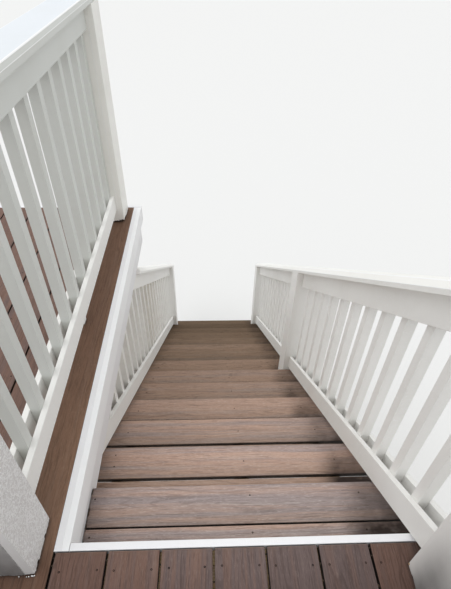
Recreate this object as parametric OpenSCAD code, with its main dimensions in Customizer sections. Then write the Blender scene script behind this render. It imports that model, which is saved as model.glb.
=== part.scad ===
// Deck stairs with composite treads and white rails
// X runs across the stairs, Y runs down them, Z is up from the ground
// Lengths are in millimetres

/* [Steps] */
// Number of treads below the deck
tread_count = 14; // [10:1:18]
// Height from one tread to the next
step_rise = 190.5; // [175:0.5:200]
// Distance from one tread front to the next
step_run = 254; // [245:1:290]
// Distance from the deck edge to the line of the tread fronts
nosing_start = 7; // [0:1:15]
// Clear width between the stair posts
stair_clear_w = 908; // [850:1:1100]
// Thickness of a tread board
tread_t = 25.4; // [20:0.2:32]
// Width of the front board of a tread
front_board_w = 129; // [100:1:140]
// Gap between the two boards of the top tread
top_tread_gap = 5; // [3:0.5:8]
// Gap between the two boards of each lower tread
tread_gap = 12; // [3:0.5:14]
// Overhang of a tread front past the riser below it
nosing_overhang = 11; // [6:1:25]
// Thickness of a riser board
riser_t = 19; // [12:1:25]
// How far a riser stops short of the tread ends
riser_inset = 8; // [2:1:20]
// Radius of the eased edges of the boards
edge_round = 3; // [1:0.5:5]

/* [Stringers] */
// Thickness of a stringer
stringer_t = 38; // [30:1:50]
// Width of the plank that a stringer is cut from
stringer_depth = 286; // [260:1:320]
// Offset of the middle stringer from the stair centre
middle_stringer_x = 69; // [-100:1:100]

/* [Deck] */
// Depth of the landing behind the stairs
landing_depth = 900; // [600:10:1500]
// Length of the deck wing beside the stairs
wing_length = 1793; // [1700:1:2400]
// Number of boards across the wing
wing_boards = 6; // [4:1:10]
// How far the wing stands in over the left stair posts
wing_overlap = 7; // [4:1:40]
// Width of a deck board
deck_board_w = 136; // [120:0.5:145]
// Gap between deck boards
deck_gap = 6; // [3:0.5:8]
// Thickness of a deck board
deck_board_t = 25.4; // [20:0.2:32]
// Gap between the ends of the deck boards and the boards around the deck
board_end_gap = 4; // [0:0.5:8]
// Distance from the right stair post to the deck edge trim
right_margin = 25; // [10:1:100]
// Thickness of a joist
joist_t = 38; // [30:1:50]
// Depth of a joist
joist_depth = 235; // [200:1:260]
// Distance from one joist to the next
joist_spacing = 305; // [250:5:450]
// Thickness of a beam
beam_t = 76; // [60:1:100]
// Depth of a beam
beam_depth = 235; // [180:1:300]
// Width of a deck support post
deck_post_w = 140; // [100:1:160]
// Distance from a beam end to its outer support post
deck_post_inset = 60; // [40:5:200]
// Thickness of the white boards around the deck
fascia_t = 20; // [15:0.5:30]
// Depth of the wide white board
fascia_depth = 243; // [225:1:300]
// Depth of the narrow outer trim board
trim_depth = 89; // [60:1:120]

/* [Rails] */
// Width of a rail post
post_w = 140; // [120:1:160]
// Thickness of a rail board
rail_board_t = 19; // [15:0.5:26]
// Thickness of the boards around a post
post_board_t = 25.4; // [15:0.2:30]
// Width of a rail board
rail_board_w = 87; // [70:1:110]
// Width of a baluster
baluster_w = 34; // [30:1:45]
// Distance from one baluster to the next, before it is evened out between the posts
baluster_pitch = 124; // [100:1:135]
// Thickness of the cap board
cap_t = 33; // [24:1:45]
// Radius of the top edges of the cap
cap_round = 16; // [4:1:20]
// Height of the stair cap above the tread fronts
stair_rail_h = 906; // [800:1:1000]
// Height of the bottom rail above the tread fronts
stair_rail_clear = 15; // [8:1:60]
// Height of the deck guard
guard_h = 1036; // [900:1:1150]
// Width of the cap board on the guard
guard_cap_w = 130; // [110:1:160]
// Height of the guard bottom rail above the deck
guard_clear = 72; // [50:1:100]
// Distance from the deck edge boards to the guard posts
guard_post_set = 31; // [10:1:60]
// How far the near guard post stands behind the deck edge
guard_post_back = 55; // [20:1:100]
// Gap between the far guard post and the deck edge boards
far_post_gap = 18; // [1:1:40]
// Distance from the deck edge to the right top post
top_post_back = 55; // [20:1:120]
// How far the right top post stands out past the posts below it
top_post_out = 6; // [0:1:20]
// Height of the right top post above the stair cap beside it
top_post_rise = 50; // [20:1:120]
// Number of treads down to the right middle post
mid_post_tread_count = 7; // [6:1:8]
// Distance from a tread front to the post below it
post_past_nosing = 22; // [10:1:60]
// How far the middle post reaches below its tread
mid_post_drop = 300; // [200:10:400]
// How far the stair caps run past the bottom posts
cap_end = 10; // [0:1:30]
// Overhang of the flat cap on the right top post
post_cap_over = 5; // [0:1:15]
// Clearance of a tread notch around a post
notch_clear = 2; // [1:0.5:4]
// Width of the seams between the white boards
seam = 1.4; // [0.6:0.2:3]
// Length of the block under the guard
block_l = 34; // [20:1:100]
// Width of the block under the guard
block_w = 24; // [16:1:60]
// Distance from the near guard post to the block
block_from_post = 771; // [300:1:1200]
// Thickness of the plate above the left stair rail
plate_t = 19; // [12:1:38]

/* [Hidden] */
deck_h = step_rise * (tread_count + 1);
slope = step_rise / step_run;
angle = atan(slope);
half_clear = stair_clear_w / 2;
stair_half = half_clear + post_w;
cap_rise = cap_t / cos(angle);
rail_rise = rail_board_w / cos(angle);
cap_low_h = stair_rail_h - cap_rise;
foot_drop = stringer_depth / cos(angle);
band_t = 2 * fascia_t;
wing_out = -half_clear + wing_overlap;
wing_in = wing_out - band_t;
board_step = deck_board_w + deck_gap;
deck_left = wing_in - wing_boards * board_step + deck_gap;
right_in = stair_half + right_margin;
deck_right = right_in + band_t;
wing_far = wing_length + fascia_t;
frame_top = deck_h - deck_board_t;
frame_low = frame_top - joist_depth;
cut_z = frame_low - plate_t;
guard_x = wing_in - guard_post_set - post_w / 2;
guard_near_y = -guard_post_back;
guard_far_y = wing_length - far_post_gap - post_w;
right_x = half_clear + post_w / 2;
mid_y = nose_y(mid_post_tread_count - 1) + post_past_nosing;
newel_y = nose_y(tread_count - 1) + post_past_nosing;
stairs_end = nose_y(tread_count);
centre_x = (deck_left + deck_right) / 2;
centre_y = (stairs_end - landing_depth) / 2;
far_beam_y = wing_length - joist_t - beam_t;
back_beam_y = -landing_depth + (deck_post_w - beam_t) / 2;
trim_x = wing_in + fascia_t;
wing_side = trim_x + notch_clear;
top_post_x = right_x + top_post_out;
top_post_h = rail_z(-top_post_back, stair_rail_h) + top_post_rise;
wing_beam_end = -stair_half - notch_clear - joist_t;
cap_start = (stair_rail_h + slope * nosing_start + plate_t + deck_board_t + joist_depth) / slope;

function tread_name(k) = str("tread_", k < 10 ? "0" : "", k);
function nose_y(k) = nosing_start + k * step_run;
function tread_top(k) = deck_h - k * step_rise;
function seat(k) = tread_top(k) - tread_t;
function riser_face(k) = k < 1 ? fascia_t : nose_y(k) - nosing_overhang;
function riser_back(k) = riser_face(k) - riser_t;
function rail_z(y, h) = deck_h - slope * (y - nosing_start) + h;
function baluster_count(run) = round(run / baluster_pitch);
function baluster_step(run) = run / baluster_count(run);
function left_end(top) = top > cut_z ? wing_side : -stair_half;

// A flat shape in Y and Z, run across from x0 to x1
module across(x0, x1) {
    translate([x0, 0, 0]) rotate([90, 0, 90]) linear_extrude(x1 - x0) children();
}

// A flat shape in X and Z, run along from y0 to y1
module along(y0, y1) {
    translate([0, y1, 0]) rotate([90, 0, 0]) linear_extrude(y1 - y0) children();
}

// A board section from a to b, its two top edges eased
module eased(a, b, low, high, r) {
    arc = [for (t = [0 : 30 : 90]) [r - r * cos(t), r * sin(t) - r]];
    left = [for (p = arc) [a + p[0], high + p[1]]];
    right = [for (i = [3 : -1 : 0]) [b - arc[i][0], high + arc[i][1]]];
    polygon(concat([[a, low]], left, right, [[b, low]]));
}

// A sloping band in Y and Z between two heights over the tread fronts
module band(y0, y1, h0, h1) {
    polygon([
        [y0, rail_z(y0, h0)],
        [y1, rail_z(y1, h0)],
        [y1, rail_z(y1, h1)],
        [y0, rail_z(y0, h1)]
    ]);
}

// Everything in Y and Z below the plate under the wing
module below_plate() {
    translate([0, 0]) square([stairs_end, cut_z]);
}

// The notch that a post needs in a tread
module post_notch(side, y0) {
    x0 = side > 0 ? half_clear - notch_clear : -stair_half - notch_clear;
    translate([x0, y0 - notch_clear, 0])
        cube([post_w + 2 * notch_clear, post_w + 2 * notch_clear, deck_h]);
}

// One tread of two boards with a gap between them
module tread(k) {
    front = nose_y(k);
    split = front - front_board_w;
    gap = k > 1 ? tread_gap : top_tread_gap;
    difference() {
        across(left_end(tread_top(k)), stair_half) {
            eased(split, front, seat(k), tread_top(k), edge_round);
            eased(riser_face(k - 1), split - gap, seat(k), tread_top(k), edge_round);
        }
        if (k == mid_post_tread_count) post_notch(1, mid_y);
        if (k == tread_count) {
            post_notch(1, newel_y);
            post_notch(-1, newel_y);
        }
    }
}

module risers() {
    for (k = [1 : tread_count]) {
        low = k < tread_count ? seat(k + 1) : 0;
        x0 = max(left_end(seat(k)), riser_inset - stair_half);
        across(x0, stair_half - riser_inset) translate([riser_back(k), low])
            square([riser_t, seat(k) - low]);
    }
}

// A sawtooth stringer that hangs on the landing beam
module stringer(x0) {
    low0 = seat(1) + slope * riser_back(1) - foot_drop;
    foot = low0 / slope;
    teeth = [for (k = [1 : tread_count]) for (p = [
        [riser_back(k), seat(k)],
        [riser_back(k), k < tread_count ? seat(k + 1) : 0]
    ]) p];
    top = [[0, low0], [0, deck_h - fascia_depth], [fascia_t, deck_h - fascia_depth], [fascia_t, seat(1)]];
    difference() {
        across(x0, x0 + stringer_t) polygon(concat(top, teeth, [[foot, 0]]));
        if (wing_side > x0)
            translate([x0 - notch_clear, -notch_clear, deck_h - fascia_depth - notch_clear])
                cube([wing_side - x0 + notch_clear, wing_far, fascia_depth]);
    }
}

module deck_boards() {
    for (k = [-wing_boards : 1 : floor((right_in - wing_in) / board_step)]) {
        x0 = wing_in + deck_gap + k * board_step;
        x1 = min(x0 + deck_board_w, right_in);
        y1 = k < 0 ? wing_length : 0;
        if (x1 - x0 > deck_board_w / 4)
            along(-landing_depth, y1 - board_end_gap) eased(x0, x1, frame_top, deck_h, edge_round);
    }
}

// A joist from the left rim to x1, its back face at y
module joist(x1, y) {
    translate([deck_left + joist_t, y, frame_low])
        cube([x1 - joist_t - deck_left - joist_t, joist_t, joist_depth]);
}

// Joists from the one at y0 to the one that closes the frame at y1
module joist_row(x1, y0, y1, first) {
    last = y1 - joist_t;
    whole_bays = floor((last - y0 - 2 * joist_t) / joist_spacing);
    for (k = [first : whole_bays])
        joist(x1, y0 + k * joist_spacing);
    joist(x1, last);
}

module deck_joists() {
    joist_row(right_in, -landing_depth, 0, 0);
    joist_row(wing_in, -joist_t, wing_length, 1);
}

// The boards along the sides of the frame, between which the joists hang
module deck_rims() {
    translate([deck_left, -landing_depth, frame_low])
        cube([joist_t, landing_depth + wing_length, joist_depth]);
    translate([right_in - joist_t, -landing_depth, frame_low])
        cube([joist_t, landing_depth, joist_depth]);
    translate([wing_in - joist_t, 0, frame_low])
        cube([joist_t, wing_length, joist_depth]);
}

module beam(x0, x1, y0) {
    translate([x0, y0, frame_low - beam_depth]) cube([x1 - x0, beam_t, beam_depth]);
}

module deck_beams() {
    beam(deck_left, right_in, -beam_t);
    beam(deck_left, right_in, back_beam_y);
    beam(deck_left, wing_beam_end, far_beam_y);
}

module deck_post(x, y_beam) {
    translate([x - deck_post_w / 2, y_beam + beam_t / 2 - deck_post_w / 2, 0])
        cube([deck_post_w, deck_post_w, frame_low - beam_depth]);
}

module deck_posts() {
    left = deck_left + deck_post_inset + deck_post_w / 2;
    right = right_in - deck_post_inset - deck_post_w / 2;
    for (y = [-beam_t, back_beam_y]) {
        deck_post(left, y);
        deck_post((left + right) / 2, y);
        deck_post(right, y);
    }
    deck_post(left, far_beam_y);
    deck_post(wing_beam_end - deck_post_inset - deck_post_w / 2, far_beam_y);
}

// A wide board in X and Z that is notched at one end around the narrow trim board
module notched_board(x_full, x_low, x_top) {
    low = deck_h - fascia_depth;
    step = deck_h - trim_depth;
    polygon([[x_full, low], [x_low, low], [x_low, step], [x_top, step], [x_top, deck_h], [x_full, deck_h]]);
}

module fascia_boards() {
    low = deck_h - fascia_depth;
    along(0, fascia_t) notched_board(right_in - seam, trim_x + seam, wing_out + seam);
    translate([wing_in, 0, low]) cube([fascia_t, wing_length - seam, fascia_depth]);
    along(wing_length, wing_far) notched_board(deck_left, trim_x, wing_out);
    translate([right_in, -landing_depth, low])
        cube([fascia_t, landing_depth + fascia_t, fascia_depth]);
}

module side_trim() {
    low = deck_h - trim_depth;
    translate([trim_x, 0, low]) cube([fascia_t, wing_length - seam, trim_depth]);
    translate([right_in + fascia_t, -landing_depth, low])
        cube([fascia_t, landing_depth + fascia_t, trim_depth]);
}

// Seams where the front and back boards of a post meet its side boards
module post_seams(x, y0, z0, z1) {
    for (side = [-1, 1], y = [y0, y0 + post_w])
        translate([x + side * (post_w / 2 - post_board_t) - seam / 2, y - seam, z0 - seam])
            cube([seam, 2 * seam, z1 - z0 + 2 * seam]);
}

module square_post(x, y0, z0, z1) {
    difference() {
        translate([x - post_w / 2, y0, z0]) cube([post_w, post_w, z1 - z0]);
        post_seams(x, y0, z0, z1);
    }
}

// A post whose top is cut along the slope under the cap
module sloped_post(x, y0, z0) {
    difference() {
        across(x - post_w / 2, x + post_w / 2) polygon([
            [y0, z0],
            [y0 + post_w, z0],
            [y0 + post_w, rail_z(y0 + post_w, cap_low_h)],
            [y0, rail_z(y0, cap_low_h)]
        ]);
        post_seams(x, y0, z0, rail_z(y0, cap_low_h));
    }
}

module cap_section(wide) {
    eased(-wide / 2, wide / 2, 0, cap_t, cap_round);
}

// A sloping cap over the rail at x, cut plumb at both ends
module sloped_cap(x, y0, y1) {
    run = (y1 - y0 + 4 * cap_t) / cos(angle);
    intersection() {
        translate([x, y0, rail_z(y0, cap_low_h)])
            rotate([-angle, 0, 0]) along(-3 * cap_t, run) cap_section(post_w);
        translate([x - post_w, y0, 0]) cube([2 * post_w, y1 - y0, 2 * deck_h]);
    }
}

// The two boards of a rail, one on each side of the balusters
module rail_pair(x) {
    inner = baluster_w / 2;
    across(x + inner, x + inner + rail_board_t) children();
    across(x - inner - rail_board_t, x - inner) children();
}

module top_band(y0, y1) {
    band(y0, y1, cap_low_h - rail_rise, cap_low_h);
}

module bottom_band(y0, y1) {
    band(y0, y1, stair_rail_clear, stair_rail_clear + rail_rise);
}

// Balusters evenly spaced down the stairs, the first against the post at y0
module stair_balusters(x, y0, y1) {
    step = baluster_step(y1 - y0);
    for (k = [0 : baluster_count(y1 - y0) - 1])
        across(x - baluster_w / 2, x + baluster_w / 2)
            band(y0 + k * step, y0 + k * step + baluster_w, stair_rail_clear, cap_low_h);
}

module guard_posts() {
    square_post(guard_x, guard_near_y, deck_h, deck_h + guard_h - cap_t);
    square_post(guard_x, guard_far_y, deck_h, deck_h + guard_h - cap_t);
}

module guard_cap() {
    translate([guard_x, 0, deck_h + guard_h - cap_t])
        along(guard_near_y, guard_far_y + post_w) cap_section(guard_cap_w);
}

module guard_rails(z0) {
    rail_pair(guard_x) translate([guard_near_y + post_w, z0])
        square([guard_far_y - guard_near_y - post_w, rail_board_w]);
}

// Balusters evenly spaced along the guard, with one against each post
module guard_balusters() {
    y0 = guard_near_y + post_w;
    run = guard_far_y - y0 - baluster_w;
    for (k = [0 : baluster_count(run)])
        translate([guard_x - baluster_w / 2, y0 + k * baluster_step(run), deck_h + guard_clear])
            cube([baluster_w, baluster_w, guard_h - cap_t - guard_clear]);
}

module guard_block() {
    translate([guard_x - block_w / 2, guard_near_y + post_w + block_from_post, deck_h])
        cube([block_w, block_l, guard_clear]);
}

module right_top_post() {
    square_post(top_post_x, -top_post_back - post_w, deck_h, top_post_h);
}

module right_post_cap() {
    wide = post_w + 2 * post_cap_over;
    translate([top_post_x, -top_post_back - post_w / 2, top_post_h])
        along(-wide / 2, wide / 2) eased(-wide / 2, wide / 2, 0, cap_t, cap_round);
}

module right_cap() {
    joint = mid_y + post_w / 2;
    sloped_cap(right_x, -top_post_back, joint - 0.5);
    sloped_cap(right_x, joint + 0.5, newel_y + post_w + cap_end);
}

module right_rails() {
    rail_pair(right_x) children(0);
    rail_pair(right_x) children(1);
}

module right_top_rails() {
    right_rails() {
        top_band(-top_post_back, mid_y);
        top_band(mid_y + post_w, newel_y);
    }
}

module right_bottom_rails() {
    right_rails() {
        bottom_band(-top_post_back, mid_y);
        bottom_band(mid_y + post_w, newel_y);
    }
}

module right_balusters() {
    stair_balusters(right_x, -top_post_back, mid_y);
    stair_balusters(right_x, mid_y + post_w, newel_y);
}

module left_cap() {
    intersection() {
        sloped_cap(-right_x, post_w, newel_y + post_w + cap_end);
        translate([-stair_half - notch_clear, 0, 0])
            cube([post_w + 2 * notch_clear, stairs_end, cut_z]);
    }
}

module left_top_rails() {
    rail_pair(-right_x) intersection() {
        top_band(post_w, newel_y);
        below_plate();
    }
}

module left_bottom_rails() {
    rail_pair(-right_x) intersection() {
        bottom_band(post_w, newel_y);
        below_plate();
    }
}

module left_balusters() {
    y0 = (deck_h - cut_z + stair_rail_clear + rail_rise + 2 * baluster_w) / slope;
    step = baluster_step(newel_y - mid_y - post_w);
    across(-right_x - baluster_w / 2, -right_x + baluster_w / 2) intersection() {
        for (k = [1 : floor((newel_y - y0) / step)]) {
            y = newel_y - k * step;
            band(y, y + baluster_w, stair_rail_clear, cap_low_h);
        }
        below_plate();
    }
}

module left_plate() {
    wide = baluster_w + 2 * rail_board_t;
    y0 = (deck_h - cut_z) / slope - post_w;
    translate([-right_x - wide / 2, y0, cut_z])
        cube([wide, min(cap_start, wing_length) - y0, plate_t]);
}

module place() {
    translate([-centre_x, -centre_y, 0]) children();
}

for (k = [1 : tread_count])
    place() color("rosybrown") tread(k);
place() color("whitesmoke") risers();
place() color("burlywood") stringer(-half_clear);  // stringer_left
place() color("burlywood") stringer(middle_stringer_x - stringer_t / 2);  // stringer_middle
place() color("burlywood") stringer(half_clear - stringer_t);  // stringer_right
place() color("rosybrown") deck_boards();
place() color("burlywood") deck_rims();
place() color("burlywood") deck_joists();
place() color("burlywood") deck_beams();
place() color("burlywood") deck_posts();
place() color("white") fascia_boards();
place() color("white") side_trim();
place() color("gainsboro") guard_posts();
place() color("white") guard_cap();
place() color("whitesmoke") guard_rails(deck_h + guard_h - cap_t - rail_board_w);  // guard_top_rails
place() color("whitesmoke") guard_rails(deck_h + guard_clear);  // guard_bottom_rails
place() color("whitesmoke") guard_balusters();
place() color("whitesmoke") guard_block();
place() color("gainsboro") right_top_post();
place() color("white") right_post_cap();
place() color("gainsboro") sloped_post(right_x, mid_y, tread_top(mid_post_tread_count) - mid_post_drop);  // right_mid_post
place() color("gainsboro") sloped_post(right_x, newel_y, 0);  // right_newel
place() color("white") right_cap();
place() color("whitesmoke") right_top_rails();
place() color("whitesmoke") right_bottom_rails();
place() color("whitesmoke") right_balusters();
place() color("gainsboro") sloped_post(-right_x, newel_y, 0);  // left_newel
place() color("white") left_cap();
place() color("whitesmoke") left_top_rails();
place() color("whitesmoke") left_bottom_rails();
place() color("whitesmoke") left_balusters();
place() color("burlywood") left_plate();
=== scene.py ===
import math
import random

import bmesh
import bpy
from mathutils import Matrix, Vector, noise


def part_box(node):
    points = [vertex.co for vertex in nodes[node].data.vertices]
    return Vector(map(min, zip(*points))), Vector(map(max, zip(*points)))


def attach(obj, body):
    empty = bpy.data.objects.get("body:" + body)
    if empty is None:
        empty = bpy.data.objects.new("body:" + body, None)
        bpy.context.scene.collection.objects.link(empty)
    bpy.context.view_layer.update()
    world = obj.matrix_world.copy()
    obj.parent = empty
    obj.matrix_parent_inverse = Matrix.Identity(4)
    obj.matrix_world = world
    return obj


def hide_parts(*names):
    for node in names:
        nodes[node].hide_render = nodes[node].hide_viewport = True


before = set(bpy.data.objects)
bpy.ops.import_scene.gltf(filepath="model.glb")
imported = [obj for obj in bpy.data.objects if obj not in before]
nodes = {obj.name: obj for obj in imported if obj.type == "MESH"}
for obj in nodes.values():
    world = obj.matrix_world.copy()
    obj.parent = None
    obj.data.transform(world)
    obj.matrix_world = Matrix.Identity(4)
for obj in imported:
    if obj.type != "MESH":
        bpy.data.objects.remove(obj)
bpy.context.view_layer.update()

print("frame loaded:", len(nodes), "parts")

# the stairs as the frame has them, in metres
stairs = {
    "rise": 0.1905, "run": 0.254, "treads": 14,
    "deckTop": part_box("deck_boards")[1].z,
    "firstNose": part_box("tread_01")[1].y,
    "frontBoard": 0.129, "boardGap": 0.005,      # of the first tread
    "boardWide": 0.136, "boardStep": 0.142,      # of the deck
    "strip": 5,                                  # its number among the deck boards, with the wing's before it
    "deckEdge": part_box("stringer_left")[0].y,
    "middle": (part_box("tread_05")[0].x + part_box("tread_05")[1].x) / 2,
}
slope = stairs["rise"] / stairs["run"]
cosSlope = math.cos(math.atan(slope))


# camera: it stands on the landing and looks down the stairs

view = {
    "place": (0.2727, -1.7856, 4.1713),
    "yaw": 2.8187, "pitch": 41.3863, "roll": 1.3772,   # degrees
    "focal": 445.2, "imageHigh": 589,                  # pixels
    "sensorHigh": 24.0,                                # millimetres
    "farthest": 300,
}


def makeCamera():
    camData = bpy.data.cameras.new("view")
    cam = bpy.data.objects.new("view", camData)
    bpy.context.scene.collection.objects.link(cam)
    yaw, pitch, roll = (math.radians(view[k]) for k in ("yaw", "pitch", "roll"))
    ahead = Vector((math.sin(yaw) * math.cos(pitch), math.cos(yaw) * math.cos(pitch), -math.sin(pitch)))
    right = Vector((math.cos(yaw), -math.sin(yaw), 0))
    up = right.cross(ahead)
    right, up = (math.cos(roll) * right + math.sin(roll) * up,
                 math.cos(roll) * up - math.sin(roll) * right)
    turn = Matrix((right, up, -ahead)).transposed()
    cam.matrix_world = Matrix.Translation(view["place"]) @ turn.to_4x4()
    camData.sensor_fit = "VERTICAL"
    camData.sensor_height = view["sensorHigh"]
    camData.lens = view["sensorHigh"] * view["focal"] / view["imageHigh"]
    camData.clip_end = view["farthest"]
    bpy.context.scene.camera = cam


makeCamera()
print("camera placed")


# small helpers for node trees

def linear(colour):
    # turns screen values from 0 to 255 into the linear ones that shaders take
    return [(c / 255 / 12.92 if c < 10 else ((c / 255 + 0.055) / 1.055) ** 2.4) for c in colour] + [1.0]


def put(tree, kind, inputs=None, **settings):
    # adds a node; each input is a link from another node or a plain value
    made = tree.nodes.new("ShaderNode" + kind)
    for key, value in settings.items():
        setattr(made, key, value)
    for key, value in (inputs or {}).items():
        if isinstance(value, bpy.types.NodeSocket):
            tree.links.new(value, made.inputs[key])
        else:
            made.inputs[key].default_value = value
    return made


def calc(tree, operation, a, b=0.0, c=0.0, clamp=False):
    return put(tree, "Math", {0: a, 1: b, 2: c}, operation=operation, use_clamp=clamp).outputs[0]


def times(tree, product, *factors):
    for factor in factors:
        product = calc(tree, "MULTIPLY", product, factor)
    return product


def vecCalc(tree, operation, a, b):
    return put(tree, "VectorMath", {0: a, 1: b}, operation=operation).outputs[0]


def vecFrom(tree, parts):
    # a vector from its parts, given by axis number
    return put(tree, "CombineXYZ", parts).outputs[0]


def axesOf(tree, vector):
    return put(tree, "SeparateXYZ", {0: vector}).outputs


def facingOf(tree):
    return axesOf(tree, put(tree, "NewGeometry").outputs["Normal"])


def cloud(tree, vector, scale, detail=2.0, rough=0.5):
    # noise with a scale for each axis, in cycles per metre
    spread = vecCalc(tree, "MULTIPLY", vector, scale)
    inputs = {"Vector": spread, "Scale": 1.0, "Detail": detail, "Roughness": rough}
    return put(tree, "TexNoise", inputs).outputs[0]


def fade(tree, value, low, high, outLow=0.0, outHigh=1.0):
    # runs smoothly from outLow to outHigh while the value goes from low to high
    return put(tree, "MapRange", {0: value, 1: low, 2: high, 3: outLow, 4: outHigh},
               interpolation_type="SMOOTHSTEP").outputs[0]


def blendColour(tree, share, a, b, how="MIX"):
    return put(tree, "Mix", {0: share, 6: a, 7: b}, data_type="RGBA", blend_type=how).outputs[2]


def lay(tree, colour, share, paint):
    # lays a paint over the colour, by its share at each point
    return blendColour(tree, share, colour, linear(paint))


def startMaterial(name):
    mat = bpy.data.materials.new(name)
    mat.use_nodes = True
    tree = mat.node_tree
    place = put(tree, "TexCoord").outputs["Object"]
    return mat, tree, tree.nodes["Principled BSDF"], place


def finishMaterial(tree, shader, colour, rough, height, depth):
    tree.links.new(colour, shader.inputs["Base Color"])
    tree.links.new(rough, shader.inputs["Roughness"])
    bump = put(tree, "Bump", {"Height": height, "Distance": depth, "Strength": 1.0})
    tree.links.new(bump.outputs[0], shader.inputs["Normal"])


maskSamples = 4      # for each point, in the two masks below


def edgeMask(tree, radius):
    # 1 on an edge, 0 on a flat face
    soft = put(tree, "Bevel", {"Radius": radius}, samples=maskSamples).outputs[0]
    plain = put(tree, "NewGeometry").outputs["Normal"]
    same = put(tree, "VectorMath", {0: soft, 1: plain}, operation="DOT_PRODUCT").outputs["Value"]
    return fade(tree, same, 0.99, 0.8)


def cornerMask(tree, reach, start, end):
    # 1 deep in a corner or gap, 0 in the open
    openness = put(tree, "AmbientOcclusion", {"Distance": reach}, samples=maskSamples).outputs["AO"]
    return fade(tree, openness, start, end)


def alongFirst(along, lengthwise, crosswise):
    scale = [crosswise] * 3
    scale[along] = lengthwise
    return scale


# brown composite boards

boardLook = {
    "warm": (191, 160, 143), "cool": (163, 149, 146), "pale": (214, 202, 194), "line": (88, 72, 64),
    "shadeAndDirt": (44, 32, 26), "edge": (198, 172, 150), "gapShade": (24, 18, 15), "amber": (255, 248, 228),
    # cycles per metre along and across a board
    "streaks": (0.8, 32.0), "bands": (1.28, 64.0),             # wide ones of colour
    "rings": (1.8, 18.0), "ringPatches": (2.0, 12.0), "ringCount": 12.0,
    "hairs": (8.0, 250.0), "fineHairs": (20.0, 430.0),         # thin dark lines
    "flecks": (66.0, 500.0),                                   # embossed
    "wander": (2.6, 8.0), "smear": (5.0, 7.0),
    "drift": 0.012,                                            # how far the grain wanders
    "otherSpot": (3.7, 1.9, 5.3),                              # a second place in the same noise
    # how strongly each is seen
    "paleBands": 0.22, "darkBands": 0.16, "ringDark": 0.34, "hairDark": 0.5, "fleckPale": 0.34,
    "edgeWide": 0.004, "edgeWorn": 0.6, "cornerReach": 0.16, "gapReach": 0.018, "endDarkening": 1.15,
    "emboss": 0.0007, "gloss": 0.3,
    # darker boards are browner, and the deck's redder; how much painted shade the corners hold
    "treads": {"falls": (1.0, 1.04, 1.24), "cornerShade": 0.75},
    "deck": {"falls": (1.0, 1.14, 1.16), "cornerShade": 0.5},
}

# how cool, how light and which pattern, for the boards of each tread: back one, then front one; the light is
# each board's own tone with painted shade that deepens down the stairs
treadBoards = [
    (0.62, 1.34, 0.11), (0.74, 1.04, 0.37), (0.10, 1.14, 0.52), (0.46, 1.08, 0.83),
    (0.36, 1.10, 0.23), (0.42, 0.99, 0.64), (0.30, 1.07, 0.91), (0.30, 0.95, 0.05),
    (0.20, 0.92, 0.44), (0.40, 0.78, 0.72), (0.40, 0.79, 0.31), (0.20, 0.77, 0.58),
    (0.35, 0.68, 0.19), (0.22, 0.63, 0.96), (0.28, 0.53, 0.41), (0.28, 0.46, 0.68),
    (0.12, 0.53, 0.14), (0.10, 0.53, 0.87), (0.25, 0.39, 0.28), (0.22, 0.40, 0.55),
    (0.12, 0.33, 0.77), (0.12, 0.35, 0.02), (0.06, 0.29, 0.49), (0.10, 0.30, 0.93),
    (0.10, 0.20, 0.34), (0.10, 0.23, 0.61), (0.12, 0.33, 0.16), (0.10, 0.28, 0.81),
]
# the same for the deck boards, from the far left one to the right one; their light is low, the boards' own
# darker tone together with painted shade over the deck
deckBoards = [
    (0.35, 0.36, 0.13), (0.30, 0.34, 0.57), (0.40, 0.36, 0.92), (0.35, 0.35, 0.26),
    (0.30, 0.34, 0.71), (0.00, 0.38, 0.44), (0.20, 0.30, 0.08), (0.30, 0.35, 0.63),
    (0.62, 0.39, 0.33), (0.80, 0.40, 0.86), (0.98, 0.38, 0.21), (0.95, 0.35, 0.49),
    (0.15, 0.28, 0.75), (0.20, 0.28, 0.02),
]
# where boards get darker or lighter: from one distance to another, in metres, and by how much
fading = {
    # painted shade: boards darken behind the front of each tread, where the tread above shades them
    "nose": (0.02, 0.22, 1.0, 0.66),            # behind the front of a tread
    "ends": (0.34, 0.455),                      # towards the right rail
    "endsBehind": (0.0, 0.2, 0.4, 1.0),         # the same darkening, growing behind the front of a tread
    # painted shade over the landing, deepening behind the edge of the deck
    "deck": (0.0, 0.22, 1.0, 0.60),             # behind the edge of the deck
    "strip": (0.2, 0.9, 0.24, 0.0),             # along the strip beside the trim, past that edge
    # painted shade on the strip, deepening behind the edge of the deck
    "stripFoot": (-0.04, 0.06, 0.0, -0.58),     # along the strip, behind that edge
}


def boardTable(tree, index, boards):
    # a table of values by board number, held in the flat steps of a colour ramp
    share = calc(tree, "DIVIDE", calc(tree, "ADD", index, 0.5), len(boards))
    ramp = put(tree, "ValToRGB", {0: share})
    ramp.color_ramp.interpolation = "CONSTANT"
    stops = ramp.color_ramp.elements
    stops.remove(stops[1])
    stops[0].color = (*boards[0], 1)
    for k in range(1, len(boards)):
        stops.new(k / len(boards)).color = (*boards[k], 1)
    parts = put(tree, "SeparateColor", {0: ramp.outputs[0]})
    return parts.outputs[0], parts.outputs[1], parts.outputs[2]


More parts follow.
